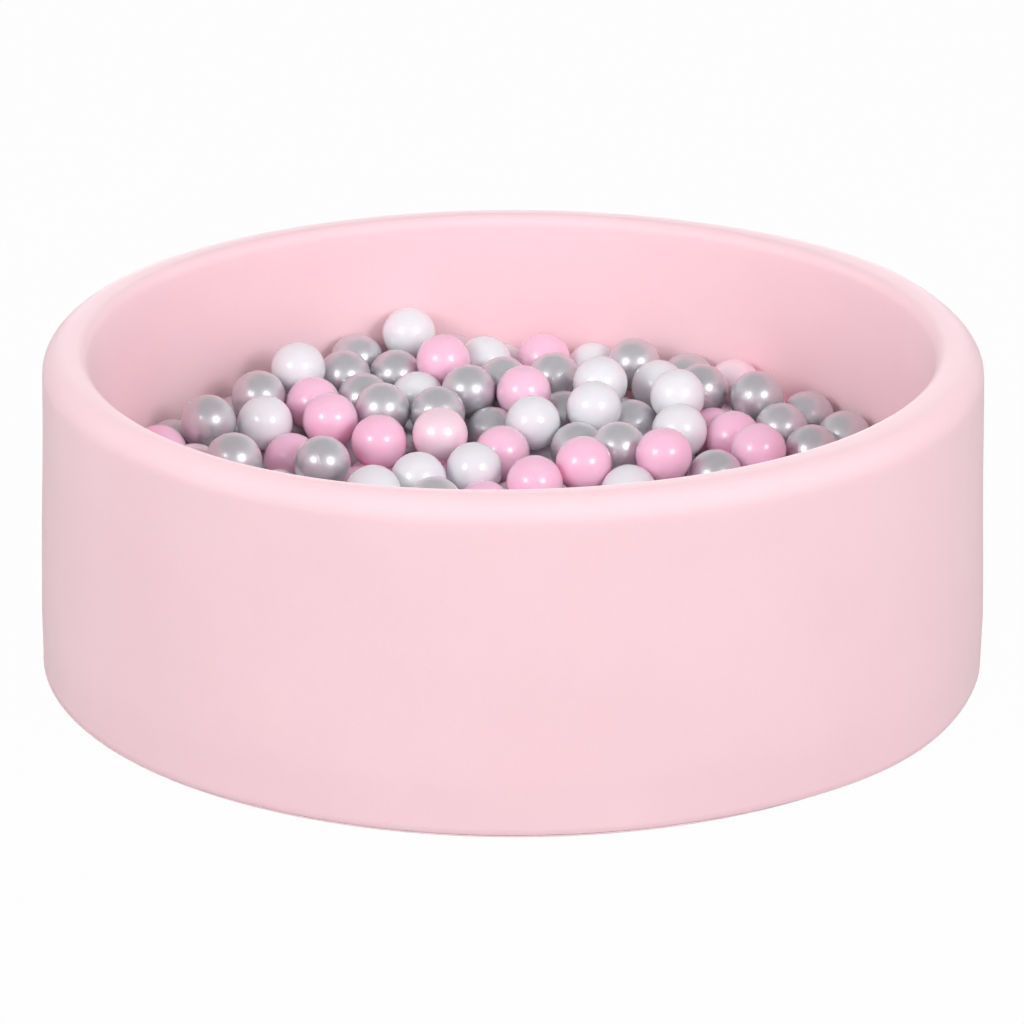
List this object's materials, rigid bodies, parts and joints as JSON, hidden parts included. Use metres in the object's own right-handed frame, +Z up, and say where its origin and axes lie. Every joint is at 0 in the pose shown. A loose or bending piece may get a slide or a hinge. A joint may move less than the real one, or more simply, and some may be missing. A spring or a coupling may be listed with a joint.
{
  "type": "ball pit",
  "caption": "Round foam ball pit in a zipped pink jersey cover, part filled with loose pink, white and silver plastic balls.",
  "frame": {"origin": "middle of the base, on the ground", "axes": "+Z up out of the pit, +Y towards the back, where the zip of the cover is, -Y towards the front"},
  "size_m": [0.904, 0.9054, 0.31],
  "materials": {
    "pink_jersey": "smooth knitted jersey, baby pink",
    "base_cloth": "plain woven lining",
    "white_foam": "soft open-cell foam",
    "zip_tape": "woven tape with a nylon coil",
    "zip_enamel": "pink enamel",
    "pink_ball": "satin",
    "white_ball": "pearlescent",
    "silver_ball": "pearlescent silver grey"
  },
  "bodies": {
    "pit": {"ball_bed": "white_ball", "cover_base": "base_cloth", "cover_floor": "pink_jersey", "cover_sleeve": "pink_jersey", "foam_mat": "white_foam", "foam_wall": "white_foam", "zip_end_stop": "zip_enamel", "zip_lower_half": "zip_tape", "zip_start_stop": "zip_enamel", "zip_upper_half": "zip_tape"},
    "slider": {"zip_slider": "zip_enamel"},
    "pull_tab": {"zip_pull_tab": "zip_enamel"},
    "loose_ball_01": {"ball_01": "silver_ball"},
    "loose_ball_02": {"ball_02": "pink_ball"},
    "loose_ball_03": {"ball_03": "white_ball"},
    "loose_ball_04": {"ball_04": "white_ball"},
    "loose_ball_05": {"ball_05": "pink_ball"},
    "loose_ball_06": {"ball_06": "silver_ball"},
    "loose_ball_07": {"ball_07": "white_ball"},
    "loose_ball_08": {"ball_08": "white_ball"},
    "loose_ball_09": {"ball_09": "pink_ball"},
    "loose_ball_10": {"ball_10": "pink_ball"},
    "loose_ball_11": {"ball_11": "white_ball"},
    "loose_ball_12": {"ball_12": "pink_ball"},
    "loose_ball_13": {"ball_13": "pink_ball"},
    "loose_ball_14": {"ball_14": "pink_ball"},
    "loose_ball_15": {"ball_15": "white_ball"},
    "loose_ball_16": {"ball_16": "pink_ball"},
    "loose_ball_17": {"ball_17": "white_ball"},
    "loose_ball_18": {"ball_18": "pink_ball"},
    "loose_ball_19": {"ball_19": "pink_ball"},
    "loose_ball_20": {"ball_20": "silver_ball"},
    "loose_ball_21": {"ball_21": "white_ball"},
    "loose_ball_22": {"ball_22": "silver_ball"},
    "loose_ball_23": {"ball_23": "silver_ball"},
    "loose_ball_24": {"ball_24": "white_ball"},
    "loose_ball_25": {"ball_25": "white_ball"},
    "loose_ball_26": {"ball_26": "silver_ball"},
    "loose_ball_27": {"ball_27": "silver_ball"},
    "loose_ball_28": {"ball_28": "white_ball"}
  },
  "joints": [
    {"name": "zip_slide", "type": "hinge", "parent": "pit", "child": "slider", "pos_m": [0, 0, 0.03], "axis": [0, 0, 1], "range_deg": [0, 136.9]},
    {"name": "pull_tab_swing", "type": "hinge", "parent": "slider", "child": "pull_tab", "pos_m": [0.42473, 0.16732, 0.03], "axis": [0, 0, -1], "range_deg": [0, 175]},
    {"name": "ball_01_lift", "type": "slide", "parent": "pit", "child": "loose_ball_01", "axis": [0, 0, 1], "range_m": [0, 0.25]},
    {"name": "ball_02_lift", "type": "slide", "parent": "pit", "child": "loose_ball_02", "axis": [0, 0, 1], "range_m": [0, 0.25]},
    {"name": "ball_03_lift", "type": "slide", "parent": "pit", "child": "loose_ball_03", "axis": [0, 0, 1], "range_m": [0, 0.25]},
    {"name": "ball_04_lift", "type": "slide", "parent": "pit", "child": "loose_ball_04", "axis": [0, 0, 1], "range_m": [0, 0.25]},
    {"name": "ball_05_lift", "type": "slide", "parent": "pit", "child": "loose_ball_05", "axis": [0, 0, 1], "range_m": [0, 0.25]},
    {"name": "ball_06_lift", "type": "slide", "parent": "pit", "child": "loose_ball_06", "axis": [0, 0, 1], "range_m": [0, 0.25]},
    {"name": "ball_07_lift", "type": "slide", "parent": "pit", "child": "loose_ball_07", "axis": [0, 0, 1], "range_m": [0, 0.25]},
    {"name": "ball_08_lift", "type": "slide", "parent": "pit", "child": "loose_ball_08", "axis": [0, 0, 1], "range_m": [0, 0.25]},
    {"name": "ball_09_lift", "type": "slide", "parent": "pit", "child": "loose_ball_09", "axis": [0, 0, 1], "range_m": [0, 0.25]},
    {"name": "ball_10_lift", "type": "slide", "parent": "pit", "child": "loose_ball_10", "axis": [0, 0, 1], "range_m": [0, 0.25]},
    {"name": "ball_11_lift", "type": "slide", "parent": "pit", "child": "loose_ball_11", "axis": [0, 0, 1], "range_m": [0, 0.25]},
    {"name": "ball_12_lift", "type": "slide", "parent": "pit", "child": "loose_ball_12", "axis": [0, 0, 1], "range_m": [0, 0.25]},
    {"name": "ball_13_lift", "type": "slide", "parent": "pit", "child": "loose_ball_13", "axis": [0, 0, 1], "range_m": [0, 0.25]},
    {"name": "ball_14_lift", "type": "slide", "parent": "pit", "child": "loose_ball_14", "axis": [0, 0, 1], "range_m": [0, 0.25]},
    {"name": "ball_15_lift", "type": "slide", "parent": "pit", "child": "loose_ball_15", "axis": [0, 0, 1], "range_m": [0, 0.25]},
    {"name": "ball_16_lift", "type": "slide", "parent": "pit", "child": "loose_ball_16", "axis": [0, 0, 1], "range_m": [0, 0.25]},
    {"name": "ball_17_lift", "type": "slide", "parent": "pit", "child": "loose_ball_17", "axis": [0, 0, 1], "range_m": [0, 0.25]},
    {"name": "ball_18_lift", "type": "slide", "parent": "pit", "child": "loose_ball_18", "axis": [0, 0, 1], "range_m": [0, 0.25]},
    {"name": "ball_19_lift", "type": "slide", "parent": "pit", "child": "loose_ball_19", "axis": [0, 0, 1], "range_m": [0, 0.25]},
    {"name": "ball_20_lift", "type": "slide", "parent": "pit", "child": "loose_ball_20", "axis": [0, 0, 1], "range_m": [0, 0.25]},
    {"name": "ball_21_lift", "type": "slide", "parent": "pit", "child": "loose_ball_21", "axis": [0, 0, 1], "range_m": [0, 0.25]},
    {"name": "ball_22_lift", "type": "slide", "parent": "pit", "child": "loose_ball_22", "axis": [0, 0, 1], "range_m": [0, 0.25]},
    {"name": "ball_23_lift", "type": "slide", "parent": "pit", "child": "loose_ball_23", "axis": [0, 0, 1], "range_m": [0, 0.25]},
    {"name": "ball_24_lift", "type": "slide", "parent": "pit", "child": "loose_ball_24", "axis": [0, 0, 1], "range_m": [0, 0.25]},
    {"name": "ball_25_lift", "type": "slide", "parent": "pit", "child": "loose_ball_25", "axis": [0, 0, 1], "range_m": [0, 0.25]},
    {"name": "ball_26_lift", "type": "slide", "parent": "pit", "child": "loose_ball_26", "axis": [0, 0, 1], "range_m": [0, 0.25]},
    {"name": "ball_27_lift", "type": "slide", "parent": "pit", "child": "loose_ball_27", "axis": [0, 0, 1], "range_m": [0, 0.25]},
    {"name": "ball_28_lift", "type": "slide", "parent": "pit", "child": "loose_ball_28", "axis": [0, 0, 1], "range_m": [0, 0.25]}
  ]
}
